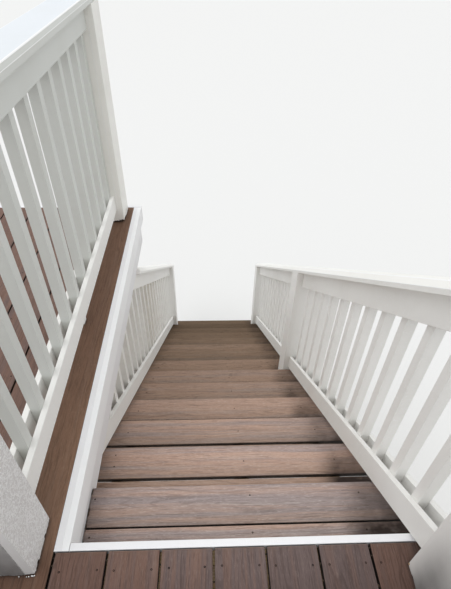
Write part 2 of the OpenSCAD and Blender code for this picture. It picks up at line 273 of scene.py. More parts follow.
def treadPlace(tree, axes):
    # the board's number, how light it is at this point, which is painted shade behind the front of the tread,
    # how near the right rail, and how amber
    drop = calc(tree, "SUBTRACT", stairs["deckTop"], axes[2])
    level = calc(tree, "FLOOR", calc(tree, "MULTIPLY_ADD", drop, 1 / stairs["rise"], 0.5))
    nose = calc(tree, "MULTIPLY_ADD", level, stairs["run"], stairs["firstNose"] - stairs["run"])
    behind = calc(tree, "SUBTRACT", nose, axes[1])
    front = calc(tree, "LESS_THAN", behind, stairs["frontBoard"] + stairs["boardGap"] / 2)
    number = calc(tree, "ADD", calc(tree, "MULTIPLY_ADD", level, 2.0, -2.0), front)
    aside = calc(tree, "SUBTRACT", axes[0], stairs["middle"])
    ends = times(tree, fade(tree, aside, *fading["ends"]), fade(tree, behind, *fading["endsBehind"]))
    return number, fade(tree, behind, *fading["nose"]), ends, 0.0


def deckPlace(tree, axes):
    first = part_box("deck_boards")[0].x - (stairs["boardStep"] - stairs["boardWide"]) / 2
    steps = calc(tree, "DIVIDE", calc(tree, "SUBTRACT", axes[0], first), stairs["boardStep"])
    number = calc(tree, "FLOOR", steps)
    behind = calc(tree, "SUBTRACT", stairs["deckEdge"], axes[1])
    landing = calc(tree, "GREATER_THAN", number, stairs["strip"] + 0.5)
    # painted shade over the landing, deepening behind the deck's edge
    darker = calc(tree, "SUBTRACT", fade(tree, behind, *fading["deck"]), 1.0)
    light = calc(tree, "MULTIPLY_ADD", landing, darker, 1.0)
    # the strip beside the trim is more amber, and lighter towards the landing; behind the deck's edge it
    # takes painted shade
    strip = calc(tree, "COMPARE", number, stairs["strip"], 0.1)
    near, far, most, least = fading["strip"]
    lift = fade(tree, axes[1], stairs["deckEdge"] + near, stairs["deckEdge"] + far, most, least)
    change = calc(tree, "ADD", lift, fade(tree, behind, *fading["stripFoot"]))
    light = times(tree, light, calc(tree, "MULTIPLY_ADD", strip, change, 1.0))
    return number, light, 0.0, strip


def makeBoardFinish(name, along, kind, boards, placeOf):
    look = boardLook
    falls, cornerShade = look[kind]["falls"], look[kind]["cornerShade"]
    mat, tree, shader, place = startMaterial(name)
    # lit is how light the place is, and carries the painted shade of the place
    number, lit, ends, amber = placeOf(tree, axesOf(tree, place))
    cool, light, seed = boardTable(tree, number, boards)

    def pattern(vector, which, detail, rough=0.5):
        return cloud(tree, vector, alongFirst(along, *look[which]), detail, rough)

    # each board has its own part of the noise, and the grain wanders a little across it
    shift = vecFrom(tree, {i: times(tree, seed, 37.0 + 11 * i) for i in range(3)})
    shifted = vecCalc(tree, "ADD", place, shift)
    wander = pattern(shifted, "wander", 3.0)
    drift = calc(tree, "MULTIPLY_ADD", wander, 2 * look["drift"], -look["drift"])
    spot = vecCalc(tree, "ADD", shifted, vecFrom(tree, {1 - along: drift}))
    other = vecCalc(tree, "ADD", spot, look["otherSpot"])

    # more of the board is cool where its own share is high
    streak = pattern(spot, "streaks", 4.0, 0.65)
    band = pattern(other, "bands", 3.0, 0.6)
    coolBoard = calc(tree, "MULTIPLY_ADD", cool, 1.5, -0.85)
    coolness = calc(tree, "ADD", fade(tree, streak, 0.36, 0.64), coolBoard, clamp=True)
    colour = lay(tree, linear(look["warm"]), coolness, look["cool"])
    colour = lay(tree, colour, fade(tree, band, 0.52, 0.74, 0.0, look["paleBands"]), look["pale"])
    colour = lay(tree, colour, fade(tree, band, 0.46, 0.28, 0.0, look["darkBands"]), look["line"])

    # rings in patches, thin lines and flecks
    wave = calc(tree, "SINE", times(tree, pattern(spot, "rings", 1.0, 0.4), 2 * math.pi * look["ringCount"]))
    patch = fade(tree, pattern(other, "ringPatches", 1.0), 0.46, 0.62)
    rings = times(tree, fade(tree, wave, 0.6, 1.0), patch)
    hair = fade(tree, pattern(spot, "hairs", 3.0, 0.6), 0.47, 0.33, 0.0, 0.8)
    fine = fade(tree, pattern(other, "fineHairs", 2.0, 0.6), 0.46, 0.3, 0.0, 0.8)
    hairs = calc(tree, "MAXIMUM", hair, fine)
    dark = calc(tree, "MAXIMUM", times(tree, rings, look["ringDark"]), times(tree, hairs, look["hairDark"]))
    colour = lay(tree, colour, dark, look["line"])
    fleck = pattern(spot, "flecks", 2.0, 0.6)
    colour = lay(tree, colour, fade(tree, fleck, 0.55, 0.72, 0.0, look["fleckPale"]), look["pale"])

    # the board's own tone, its painted shade and the flecks set how light it is; the darker, the browner
    level = times(tree, light, lit, fade(tree, fleck, 0.2, 0.8, 0.95, 1.06))
    tone = vecFrom(tree, {i: calc(tree, "POWER", level, fall) for i, fall in enumerate(falls)})
    colour = blendColour(tree, 1.0, colour, tone, "MULTIPLY")
    colour = blendColour(tree, amber, colour, linear(look["amber"]), "MULTIPLY")
    # the edges are lightened, more so on lighter boards: wear together with a painted highlight
    wearAndHighlight = times(tree, edgeMask(tree, look["edgeWide"]), times(tree, level, look["edgeWorn"]))
    colour = lay(tree, colour, wearAndHighlight, look["edge"])
    patchy = fade(tree, pattern(place, "smear", 4.0, 0.6), 0.32, 0.62, 0.45, 1.0)
    # painted shade in the corners, found by occlusion, and the darkening towards the right rail, both made
    # patchy
    inCorners = times(tree, cornerMask(tree, look["cornerReach"], 0.72, 0.2), cornerShade)
    shadeAndGrime = times(tree, calc(tree, "MAXIMUM", inCorners, times(tree, ends, look["endDarkening"])), patchy)
    colour = lay(tree, colour, shadeAndGrime, look["shadeAndDirt"])
    # painted shade: the edges at the gaps between the boards are darkened to black
    colour = lay(tree, colour, cornerMask(tree, look["gapReach"], 0.8, 0.45), look["gapShade"])

    rough = calc(tree, "ADD", fade(tree, fleck, 0.3, 0.7, 0.6, 0.75), times(tree, dark, 0.15))
    height = calc(tree, "SUBTRACT", fleck, times(tree, dark, 0.8))
    shader.inputs["Specular IOR Level"].default_value = look["gloss"]
    finishMaterial(tree, shader, colour, rough, height, look["emboss"])
    return mat


# white boards, posts and caps

whiteLook = {
    "speck": (92, 84, 74), "shadeAndGrime": (112, 106, 92), "stain": (206, 203, 193), "wearAndHighlight": (254, 254, 254),
    "hollowShade": (222, 220, 219), "footShadeAndDirt": (72, 70, 70), "seam": (66, 62, 60),
    # cycles per metre
    "broad": 2.6, "smear": 9.0, "chalk": 85.0, "stone": 84.0, "peel": 330.0, "specks": 3.2,
    "runs": (38.0, 38.0, 2.5), "brush": (14.0, 260.0),
    "speckSize": 0.003, "speckDark": 0.85, "seamDark": 0.8,
    "cornerReach": 0.022, "edgeWide": 0.0025, "peelDeep": 0.00035, "gloss": 0.4,
}


def shadeAndSplashShare(tree, axes, smear, foot, seams):
    # painted shade, with some splashed dirt, low on the faces that stand against the walkway and growing
    # towards −Y
    top = stairs["deckTop"]
    facing = facingOf(tree)
    toWalk = calc(tree, "MAXIMUM", fade(tree, facing[1], -0.5, -0.9), fade(tree, facing[0], -0.5, -0.9))
    low = fade(tree, axes[2], top + foot["high"], top + 0.01, 0.0, foot["share"])
    along = fade(tree, axes[1], foot["startsAt"], foot["fullAt"])
    shadeAndSplash = times(tree, toWalk, low, along, fade(tree, smear, 0.2, 0.7, 0.86, 1.0))
    if seams:
        # the corner strips between the seams and the edges take less of it
        inside = times(tree, calc(tree, "GREATER_THAN", axes[0], seams[0]),
                       calc(tree, "LESS_THAN", axes[0], seams[1]))
        shadeAndSplash = times(tree, shadeAndSplash, calc(tree, "MULTIPLY_ADD", inside, 0.55, 0.45))
    return shadeAndSplash


def pebbleWeb(tree, place, peel):
    # a raised web of fine ridges with hollows between them, on the side boards only; the hollows carry a
    # darker grey as painted shade
    onSide = calc(tree, "GREATER_THAN", calc(tree, "ABSOLUTE", facingOf(tree)[0]), 0.6)
    stone = cloud(tree, place, [whiteLook["stone"]] * 3, 3.0, 0.62)
    ridge = fade(tree, calc(tree, "ABSOLUTE", calc(tree, "SUBTRACT", stone, 0.5)), 0.075, 0.01)
    height = calc(tree, "MULTIPLY_ADD", ridge, 0.9, times(tree, peel, 0.4))
    return times(tree, height, onSide), times(tree, fade(tree, ridge, 0.7, 0.1, 0.0, 0.9), onSide)


def makeWhiteFinish(name, paint, shadeAndGrime, stain, wearAndHighlight=0.35, along=1, pebble=0.0, chalk=0.0,
                    foot=None, seams=()):
    look = whiteLook
    mat, tree, shader, place = startMaterial(name)
    axes = axesOf(tree, place)
    broad = cloud(tree, place, [look["broad"]] * 3, 4.0, 0.6)
    colour = lay(tree, linear(paint), fade(tree, broad, 0.45, 0.7, 0.0, stain), look["stain"])
    runs = cloud(tree, place, look["runs"], 3.0, 0.6)
    colour = lay(tree, colour, fade(tree, runs, 0.52, 0.72, 0.0, stain * 0.35), look["stain"])
    # small dark marks here and there
    cell = put(tree, "TexVoronoi", {"Vector": place, "Scale": look["specks"]})
    chosen = put(tree, "SeparateColor", {0: cell.outputs["Color"]}).outputs
    size = times(tree, fade(tree, chosen[1], 0.3, 0.9), look["speckSize"] * look["specks"])
    speck = calc(tree, "LESS_THAN", cell.outputs["Distance"], size)
    colour = lay(tree, colour, times(tree, speck, look["speckDark"]), look["speck"])
    smear = cloud(tree, place, [look["smear"]] * 3, 4.0, 0.65)
    # painted shade in the corners and at contacts, found by occlusion and made patchy
    corner = cornerMask(tree, look["cornerReach"], 0.62, 0.12)
    shadeAndDirt = times(tree, corner, fade(tree, smear, 0.3, 0.6, 0.45, 1.0), shadeAndGrime)
    colour = lay(tree, colour, shadeAndDirt, look["shadeAndGrime"])
    if chalk:
        # chalky flecks where the paint is thin
        flecks = fade(tree, cloud(tree, place, [look["chalk"]] * 3, 3.0, 0.7), 0.58, 0.66)
        thin = times(tree, flecks, fade(tree, broad, 0.48, 0.6, 0.0, chalk))
        colour = lay(tree, colour, thin, look["wearAndHighlight"])
    if foot:
        colour = lay(tree, colour, shadeAndSplashShare(tree, axes, smear, foot, seams), look["footShadeAndDirt"])
    for seam in seams:
        near = fade(tree, calc(tree, "ABSOLUTE", calc(tree, "SUBTRACT", axes[0], seam)), 0.0022, 0.0008)
        colour = lay(tree, colour, times(tree, near, look["seamDark"]), look["seam"])

    peel = cloud(tree, place, [look["peel"]] * 3, 2.0, 0.5)
    if pebble:
        depth = pebble
        height, hollow = pebbleWeb(tree, place, peel)
        # painted shade in the hollows between the ridges
        colour = lay(tree, colour, hollow, look["hollowShade"])
    else:
        depth = look["peelDeep"]
        brush = cloud(tree, place, alongFirst(along, *look["brush"]), 2.0, 0.5)
        height = calc(tree, "ADD", peel, times(tree, brush, 0.7))
    # the edges are lightened: wear together with a painted highlight
    colour = lay(tree, colour, times(tree, edgeMask(tree, look["edgeWide"]), wearAndHighlight), look["wearAndHighlight"])
    rough = fade(tree, calc(tree, "ADD", broad, times(tree, peel, 0.3)), 0.4, 0.9, 0.42, 0.62)
    shader.inputs["Specular IOR Level"].default_value = look["gloss"]
    finishMaterial(tree, shader, colour, rough, height, depth)
    return mat


# framing lumber, with rings that run along each member

lumberLook = {
    "early": (196, 170, 130), "late": (166, 134, 94), "knot": (98, 68, 44), "damp": (112, 98, 74),
    "edge": (208, 186, 148), "edgeWide": 0.003, "edgeWorn": 0.4,
    # cycles per metre along and across a member
    "wander": (0.9, 3.0), "knots": (2.2, 9.0), "fibre": (12.0, 420.0), "dampSpots": 3.0, "rings": 120.0,
    "bend": 0.09, "stretch": 0.04,
    # the heart of the tree repeats at these steps, so that each member has its own rings
    "heartStep": (0.31, 0.37, 0.29), "heartAt": (0.11, 0.16, 0.09),
    "deep": 0.0008,
}


def makeLumber(name, along, tilt=0.0):
    look = lumberLook
    mat, tree, shader, place = startMaterial(name)
    if tilt:
        place = put(tree, "Mapping", {"Vector": place, "Rotation": (tilt, 0, 0)}).outputs[0]
    bend = times(tree, cloud(tree, place, alongFirst(along, *look["wander"])), look["bend"])
    bent = vecCalc(tree, "ADD", place, vecFrom(tree, {0: bend, 1: bend, 2: bend}))
    core = vecCalc(tree, "MULTIPLY", bent, alongFirst(along, look["stretch"], 1.0))
    wrapped = vecCalc(tree, "MODULO", core, look["heartStep"])
    centred = vecCalc(tree, "SUBTRACT", wrapped, look["heartAt"])
    reach = put(tree, "VectorMath", {0: centred}, operation="LENGTH").outputs["Value"]
    ring = calc(tree, "SINE", times(tree, reach, look["rings"] * 2 * math.pi))
    colour = lay(tree, linear(look["early"]), fade(tree, ring, -0.2, 1.0, 0.0, 0.8), look["late"])
    cells = vecCalc(tree, "MULTIPLY", place, alongFirst(along, *look["knots"]))
    knots = put(tree, "TexVoronoi", {"Vector": cells, "Scale": 1.0})
    colour = lay(tree, colour, fade(tree, knots.outputs["Distance"], 0.11, 0.04), look["knot"])
    fibre = cloud(tree, place, alongFirst(along, *look["fibre"]), 3.0, 0.6)
    colour = lay(tree, colour, fade(tree, fibre, 0.5, 0.75, 0.0, 0.4), look["late"])
    damp = cloud(tree, place, [look["dampSpots"]] * 3, 4.0, 0.6)
    colour = lay(tree, colour, fade(tree, damp, 0.45, 0.7, 0.0, 0.55), look["damp"])
    colour = lay(tree, colour, times(tree, edgeMask(tree, look["edgeWide"]), look["edgeWorn"]), look["edge"])
    height = calc(tree, "ADD", fibre, times(tree, ring, 0.15))
    finishMaterial(tree, shader, colour, fade(tree, fibre, 0.3, 0.7, 0.62, 0.85), height, look["deep"])
    return mat


# screws, and the core that a post sleeve stands over, painted dark as painted shade in the hollow
screwPaint = {
    "dark": (24, 18, 15), "brown": (42, 29, 23), "rust": (90, 54, 34),
    "rustSpots": 400.0, "fromScrewToScrew": 14.0,     # cycles per metre
    "gloss": 0.2, "deep": 0.0003,
}
shadedCorePaint = {"dark": (40, 31, 25), "pale": (88, 72, 56), "grit": 160.0, "deep": 0.001}


def makeScrewFinish():
    look = screwPaint
    mat, tree, shader, place = startMaterial("screwPaint")
    rust = cloud(tree, place, [look["rustSpots"]] * 3, 3.0, 0.6)
    each = cloud(tree, place, [look["fromScrewToScrew"]] * 3, 1.0)
    colour = lay(tree, linear(look["dark"]), fade(tree, each, 0.4, 0.6), look["brown"])
    colour = lay(tree, colour, fade(tree, rust, 0.55, 0.75, 0.0, 0.25), look["rust"])
    shader.inputs["Specular IOR Level"].default_value = look["gloss"]
    finishMaterial(tree, shader, colour, fade(tree, rust, 0.3, 0.7, 0.55, 0.8), rust, look["deep"])
    return mat


def makeCoreFinish():
    look = shadedCorePaint
    mat, tree, shader, place = startMaterial("postCore")
    grit = cloud(tree, place, [look["grit"]] * 3, 4.0, 0.6)
    colour = lay(tree, linear(look["dark"]), fade(tree, grit, 0.35, 0.65), look["pale"])
    finishMaterial(tree, shader, colour, fade(tree, grit, 0.3, 0.7, 0.75, 0.95), grit, look["deep"])
    return mat


# how far the seams of a post lie from its edges
seamIn = 0.0254
postSeams = (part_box("guard_posts")[0].x + seamIn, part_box("guard_posts")[1].x - seamIn)
# how high the painted shade and splashed dirt reach on a post, how dark they are, and the places along Y
# where they start and are full
shadeAndSplashes = {
    "near": {"high": 0.6, "share": 0.9, "startsAt": 0.1, "fullAt": 0.0},
    "right": {"high": 0.42, "share": 0.9,
              "startsAt": stairs["deckEdge"] - 0.035, "fullAt": stairs["deckEdge"] - 0.13},
}

finishes = {
    "treads": makeBoardFinish("treadBoards", 0, "treads", treadBoards, treadPlace),
    "deck": makeBoardFinish("deckBoards", 1, "deck", deckBoards, deckPlace),
    "trim": makeWhiteFinish("trimPaint", (252, 253, 254), shadeAndGrime=0.15, stain=0.06),
    # the fascia is a darker copy of the trim's white, as painted shade
    "fascia": makeWhiteFinish("fasciaShadedPaint", (243, 243, 245), shadeAndGrime=0.15, stain=0.08),
    # the guard's top rails, balusters and the guard cap's sides take a darker, greener copy of the rail's
    # white: painted shade and a painted green tint from the lawn
    "guard": makeWhiteFinish("guardShadedPaint", (217, 219, 215), shadeAndGrime=0.25, stain=0.14),
    "rail": makeWhiteFinish("railPaint", (247, 246, 243), shadeAndGrime=0.06, stain=0.1, chalk=0.45),
    # the guard cap's top is tinted blue: painted sky light
    "guardCap": makeWhiteFinish("guardCapSkyTintPaint", (228, 233, 238), shadeAndGrime=0.4, stain=0.08),
    "cap": makeWhiteFinish("capPaint", (250, 249, 245), shadeAndGrime=0.3, stain=0.08, wearAndHighlight=0.8),
    # the caps' arrises are a clean white: a painted highlight
    "arrisHighlight": makeWhiteFinish("arrisHighlightPaint", (254, 254, 254), shadeAndGrime=0.1, stain=0.04),
    "nearPost": makeWhiteFinish("nearPostSkin", (253, 253, 253), pebble=0.0008, shadeAndGrime=0.4, stain=0.12,
                                wearAndHighlight=0.5, foot=shadeAndSplashes["near"], seams=postSeams),
    "farPost": makeWhiteFinish("farPostSkin", (246, 245, 240), shadeAndGrime=0.3, stain=0.14, wearAndHighlight=0.85),
    "rightPost": makeWhiteFinish("rightPostSkin", (244, 242, 239), shadeAndGrime=0.35, stain=0.14, wearAndHighlight=0.85,
                                 foot=shadeAndSplashes["right"]),
    "riser": makeWhiteFinish("riserPaint", (224, 223, 217), along=0, shadeAndGrime=0.8, stain=0.6),
    "lumberX": makeLumber("lumberAcross", 0),
    "lumberY": makeLumber("lumberAlong", 1),
    "lumberZ": makeLumber("lumberUpright", 2),
    "lumberSlope": makeLumber("lumberSloping", 1, math.atan(slope)),
    "screw": makeScrewFinish(),
    "core": makeCoreFinish(),
}
print("materials made:", len(finishes))


def finishFor(name):
    if name.startswith("tread_"):
        return "treads"
    if name.startswith("stringer_"):
        return "lumberSlope"
    if name in ("guard_top_rails", "guard_balusters"):
        return "guard"
    return {
        "deck_boards": "deck", "risers": "riser", "side_trim": "trim", "fascia_boards": "fascia",
        "deck_joists": "lumberX", "deck_beams": "lumberX", "deck_rims": "lumberY",
        "left_plate": "lumberY", "deck_posts": "lumberZ",
        "right_top_post": "rightPost", "guard_posts": "nearPost",
    }.get(name, "rail")


# how far the edges of sawn and milled boards are rounded, by finish
easing = {"rail": 0.0016, "guard": 0.0016, "trim": 0.0006, "fascia": 0.001, "riser": 0.001,
          "lumberX": 0.003, "lumberY": 0.003, "lumberZ": 0.003, "lumberSlope": 0.002}
# edges that turn less than flat are dissolved, and those that turn more than sharp are rounded, in degrees
easingLimits = {"weld": 0.00002, "flat": 0.3, "sharp": 40, "segments": 2}


def easeEdges(obj, width):
    limits = easingLimits
    weld = obj.modifiers.new("weld", "WELD")
    weld.merge_threshold = limits["weld"]
    flat = obj.modifiers.new("flat", "DECIMATE")
    flat.decimate_type = "DISSOLVE"
    flat.angle_limit = math.radians(limits["flat"])
    rounding = obj.modifiers.new("easing", "BEVEL")
    rounding.width = width
    rounding.segments = limits["segments"]
    rounding.limit_method = "ANGLE"
    rounding.angle_limit = math.radians(limits["sharp"])
    rounding.harden_normals = False


for name, obj in nodes.items():
    finish = finishFor(name)
    obj.data.materials.clear()
    obj.data.materials.append(finishes[finish])
    if finish in easing:
        easeEdges(obj, easing[finish])
print("finishes laid on the frame")


# new pieces

def addPiece(name, mesh, finishNames, stands=(), smooth=None):
    # stands holds the nodes that the piece takes the place of; smooth is an angle in degrees
    data = bpy.data.meshes.new(name)
    mesh.normal_update()
    mesh.to_mesh(data)
    mesh.free()
    piece = bpy.data.objects.new(name, data)
    bpy.context.scene.collection.objects.link(piece)
    for finish in finishNames:
        data.materials.append(finishes[finish])
    if smooth is not None:
        data.shade_smooth()
        data.set_sharp_from_angle(angle=math.radians(smooth))
    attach(piece, "root")
    if stands:
        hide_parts(*stands)


# white caps: the upper edges slope in and up from a low upright side, and each arris is eased
capLook = {
    "stations": 36, "cornerSteps": 4,
    "end": 0.002, "endInset": 0.0014,
    "wave": 0.0006, "waves": 2.1,                # how high the top wavers, and cycles per metre
    "stairThick": 0.033, "halfJoint": 0.0005,
    # cuts are the sizes of the corner curves from the underside up, and the side's finish ends at sideUpTo
    "guard": {"slopeIn": 0.006, "slopeUp": 0.0145, "cuts": (0.0015, 0.0009, 0.003), "sideUpTo": 10},
    "stair": {"slopeIn": 0.024, "slopeUp": 0.0174, "cuts": (0.0015, 0.0012, 0.0035), "sideUpTo": 5},
    "post": {"slopeIn": 0.010, "slopeUp": 0.010, "cuts": (0.0015, 0.0012, 0.0035), "sideUpTo": 5},
}


def softCorner(before, corner, after, cut):
    # a small curve that takes the point off a corner
    a = corner + (before - corner).normalized() * cut
    b = corner + (after - corner).normalized() * cut
    shares = [k / capLook["cornerSteps"] for k in range(capLook["cornerSteps"] + 1)]
    return [a.lerp(corner, s).lerp(corner.lerp(b, s), s) for s in shares]


def capSection(wide, thick, form, inset):
    half, low, top = wide / 2 - inset, inset, thick - inset
    path = [Vector((0, low)), Vector((-half, low)), Vector((-half, top - form["slopeUp"])),
            Vector((form["slopeIn"] - half, top)), Vector((0, top))]
    points = []
    for k, cut in enumerate(form["cuts"], 1):
        points += softCorner(path[k - 1], path[k], path[k + 1], cut)
    return [tuple(p) for p in points] + [(-p.x, p.y) for p in reversed(points)]


def loftCap(mesh, form, xMid, wide, y0, y1, topAt, fall, thick, seed):
    # fall is the drop for each metre along Y; topAt is the height of the top at y0
    look = capLook
    lean = math.cos(math.atan(fall))
    count, end = look["stations"], look["end"]
    inner = [y0 + (y1 - y0) * k / count for k in range(1, count)]
    places = [y0, y0 + end] + inner + [y1 - end, y1]
    rings = []
    for i, y in enumerate(places):
        inset = look["endInset"] if i in (0, len(places) - 1) else 0.0
        base = topAt - fall * (y - y0) - thick / lean
        ripple = look["wave"] * (noise.noise(Vector((y * look["waves"], seed, 0.0))) - 1) / 2
        rings.append([mesh.verts.new((xMid + u, y, base + h / lean + (ripple if h > thick / 3 else 0)))
                      for u, h in capSection(wide, thick, look[form], inset)])
    half = len(rings[0]) // 2
    perCorner = look["cornerSteps"] + 1
    for a, b in zip(rings, rings[1:]):
        for k in range(len(a)):
            face = mesh.faces.new((a[k], a[k - 1], b[k - 1], b[k]))
            # 1 for the arrises, painted a clean white as a painted highlight, 2 for the sides and underside,
            # else the top
            step = k if k < half else 2 * half - k
            if step > perCorner and step % perCorner:
                face.material_index = 1
            elif step <= look[form]["sideUpTo"]:
                face.material_index = 2
    mesh.faces.new(rings[0]).material_index = 2
    mesh.faces.new(list(reversed(rings[-1]))).material_index = 2


def makeCaps():
    lo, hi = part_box("guard_cap")
    mesh = bmesh.new()
    loftCap(mesh, "guard", (lo.x + hi.x) / 2, hi.x - lo.x, lo.y, hi.y, hi.z, 0.0, hi.z - lo.z, seed=1.3)
    # on the guard cap the sides and underside take the guard's darker paint, painted shade, and the top its
    # blue-tinted paint, painted sky light
    addPiece("guardCap", mesh, ["guardCap", "arrisHighlight", "guard"], ["guard_cap"])

    # the right cap is in two lengths that meet over the middle post
    thick, halfJoint = capLook["stairThick"], capLook["halfJoint"]
    lo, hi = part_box("right_cap")
    wide = hi.x - lo.x
    middle = (lo.x + hi.x) / 2
    postLo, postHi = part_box("right_mid_post")
    joint = (postLo.y + postHi.y) / 2
    jointTop = hi.z - slope * (joint + halfJoint - lo.y)
    mesh = bmesh.new()
    loftCap(mesh, "stair", middle, wide, lo.y, joint - halfJoint, hi.z, slope, thick, seed=4.2)
    loftCap(mesh, "stair", middle, wide, joint + halfJoint, hi.y, jointTop, slope, thick, seed=7.7)
    addPiece("rightStairCap", mesh, ["cap", "arrisHighlight", "rail"], ["right_cap"])

    # the left cap starts under the plate of the wing, where it is cut level
    lo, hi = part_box("left_cap")
    top = lo.z + (hi.y - lo.y) * slope + thick / cosSlope
    mesh = bmesh.new()
    loftCap(mesh, "stair", (lo.x + hi.x) / 2, wide, lo.y, hi.y, top, slope, thick, seed=9.1)
    geom = mesh.verts[:] + mesh.edges[:] + mesh.faces[:]
    cut = bmesh.ops.bisect_plane(mesh, geom=geom, plane_co=(0, 0, hi.z), plane_no=(0, 0, 1), clear_outer=True)
    rim = [e for e in cut["geom_cut"] if isinstance(e, bmesh.types.BMEdge)]
    bmesh.ops.holes_fill(mesh, edges=rim, sides=0)
    addPiece("leftStairCap", mesh, ["cap", "arrisHighlight", "rail"], ["left_cap"])

    lo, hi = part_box("right_post_cap")
    mesh = bmesh.new()
    loftCap(mesh, "post", (lo.x + hi.x) / 2, hi.x - lo.x, lo.y, hi.y, hi.z, 0.0, hi.z - lo.z, seed=2.4)
    addPiece("rightPostCap", mesh, ["cap", "arrisHighlight", "rail"], ["right_post_cap"])


# post sleeves whose lower edges were cut by hand and have broken out in places
sleeveLook = {
    "seam": 0.0014, "step": 0.0035, "corner": 0.0018,
    "wall": 0.007, "hollow": 0.032, "core": 0.013,
    "lip": (0.0, 0.004, 0.014), "lean": 0.0012,         # heights on the broken lip, and how far it leans in
    "under": 0.8, "underUp": 0.0006,
    "slow": 22, "nick": 60, "quick": 210,               # ups and downs per metre
    # most is how far the edge breaks up; chip is a deeper break at the corner by the stairs: high, reach
    "near": {"seed": 3.1, "most": 0.010, "chip": (0.012, 0.045)},
    "far": {"seed": 8.6, "most": 0.010, "chip": (0.020, 0.095)},
    "right": {"seed": 5.4, "most": 0.0015, "chip": None},
}


def sleeveSide(start, end, outward, grooves):
    # points along one side, with a narrow groove at each seam
    look = sleeveLook
    r, w = look["corner"], look["seam"] / 2
    run = Vector(end) - Vector(start)
    length = run.length
    run.normalize()
    count = round(length / look["step"])
    marks = [(r + (length - 2 * r) * k / count, 0.0) for k in range(count + 1)]
    marks = [m for m in marks if all(abs(m[0] - g) > 2 * w for g in grooves)]
    for g in grooves:
        marks += [(g - w, 0.0), (g - w * 0.9, -2 * w), (g + w * 0.9, -2 * w), (g + w, 0.0)]
    marks.sort()
    return [Vector(start) + run * t + Vector(outward) * d for t, d in marks]


def sleeveOutline(x0, x1, y0, y1):
    cut = sleeveLook["corner"] * 0.3
    grooves = [seamIn, x1 - x0 - seamIn]
    points = sleeveSide((x0, y0), (x1, y0), (0, -1), grooves)
    points.append(Vector((x1 - cut, y0 + cut)))
    points += sleeveSide((x1, y0), (x1, y1), (1, 0), [])
    points.append(Vector((x1 - cut, y1 - cut)))
    points += sleeveSide((x1, y1), (x0, y1), (0, 1), grooves)
    points.append(Vector((x0 + cut, y1 - cut)))
    points += sleeveSide((x0, y1), (x0, y0), (-1, 0), [])
    points.append(Vector((x0 + cut, y0 + cut)))
    return points


def unevenness(point, perMetre, seed):
    return noise.noise(Vector((point.x * perMetre, point.y * perMetre, seed)))


def brokenEdge(point, corner, form):
    # how far the sleeve's lower edge has broken up at a point
    slow = unevenness(point, sleeveLook["slow"], form["seed"])
    quick = unevenness(point, sleeveLook["quick"], form["seed"] + 5)
    nick = unevenness(point, sleeveLook["nick"], form["seed"] + 9)
    share = 0.28 + 0.4 * slow + 0.45 * quick + (0.7 if nick > 0.38 else 0.0)
    lift = form["most"] * max(0.0, min(1.0, share))
    if form["chip"]:
        high, reach = form["chip"]
        near = max(0.0, 1 - (point - corner).length / reach)
        lift = max(lift, high * near * (0.85 + 0.5 * quick + 0.4 * nick))
    return lift


def sleeve(mesh, x0, x1, y0, y1, z0, z1, form):
    look = sleeveLook
    outline = sleeveOutline(x0, x1, y0, y1)
    middle = Vector(((x0 + x1) / 2, (y0 + y1) / 2))
    lifts = [brokenEdge(p, Vector((x1, y0)), form) for p in outline]
    rings = []
    for rise in look["lip"]:
        ring = []
        for p, lift in zip(outline, lifts):
            lean = look["lean"] * (1 - rise / look["lip"][-1]) * lift / form["most"]
            spot = p + (middle - p).normalized() * lean
            ring.append(mesh.verts.new((spot.x, spot.y, z0 + lift + rise)))
        rings.append(ring)
    rings.append([mesh.verts.new((p.x, p.y, z1)) for p in outline])
    # the hollow under the sleeve
    w = look["wall"]
    inner = [(max(x0 + w, min(x1 - w, p.x)), max(y0 + w, min(y1 - w, p.y))) for p in outline]
    under = [mesh.verts.new((x, y, z0 + lift * look["under"] + look["underUp"]))
             for (x, y), lift in zip(inner, lifts)]
    ceiling = [mesh.verts.new((x, y, z0 + look["hollow"])) for x, y in inner]
    chain = [ceiling, under] + rings
    for a, b in zip(chain, chain[1:]):
        for k in range(len(a)):
            mesh.faces.new((a[k - 1], a[k], b[k], b[k - 1]))
    mesh.faces.new(rings[-1])
    mesh.faces.new(list(reversed(ceiling)))
    # the core that the sleeve stands over, dark as painted shade in the hollow
    c = look["core"]
    corners = ((x0 + c, y0 + c), (x1 - c, y0 + c), (x1 - c, y1 - c), (x0 + c, y1 - c))
    low = [mesh.verts.new((x, y, z0)) for x, y in corners]
    high = [mesh.verts.new((x, y, z0 + look["hollow"])) for x, y in corners]
    faces = [mesh.faces.new(list(reversed(low))), mesh.faces.new(high)]
    faces += [mesh.faces.new((low[k - 1], low[k], high[k], high[k - 1])) for k in range(4)]
    for face in faces:
        face.material_index = 1


def makeSleeves():
    look = sleeveLook
    lo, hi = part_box("guard_posts")
    wide = hi.x - lo.x
    mesh = bmesh.new()
    sleeve(mesh, lo.x, hi.x, lo.y, lo.y + wide, lo.z, hi.z, look["near"])
    addPiece("nearPostSleeve", mesh, ["nearPost", "core"], ["guard_posts"])
    mesh = bmesh.new()
    sleeve(mesh, lo.x, hi.x, hi.y - wide, hi.y, lo.z, hi.z, look["far"])
    addPiece("farPostSleeve", mesh, ["farPost", "core"], ["guard_posts"])
    lo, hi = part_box("right_top_post")
    mesh = bmesh.new()
    sleeve(mesh, lo.x, hi.x, lo.y, hi.y, lo.z, hi.z, look["right"])
    addPiece("rightPostSleeve", mesh, ["rightPost", "core"], ["right_top_post"])


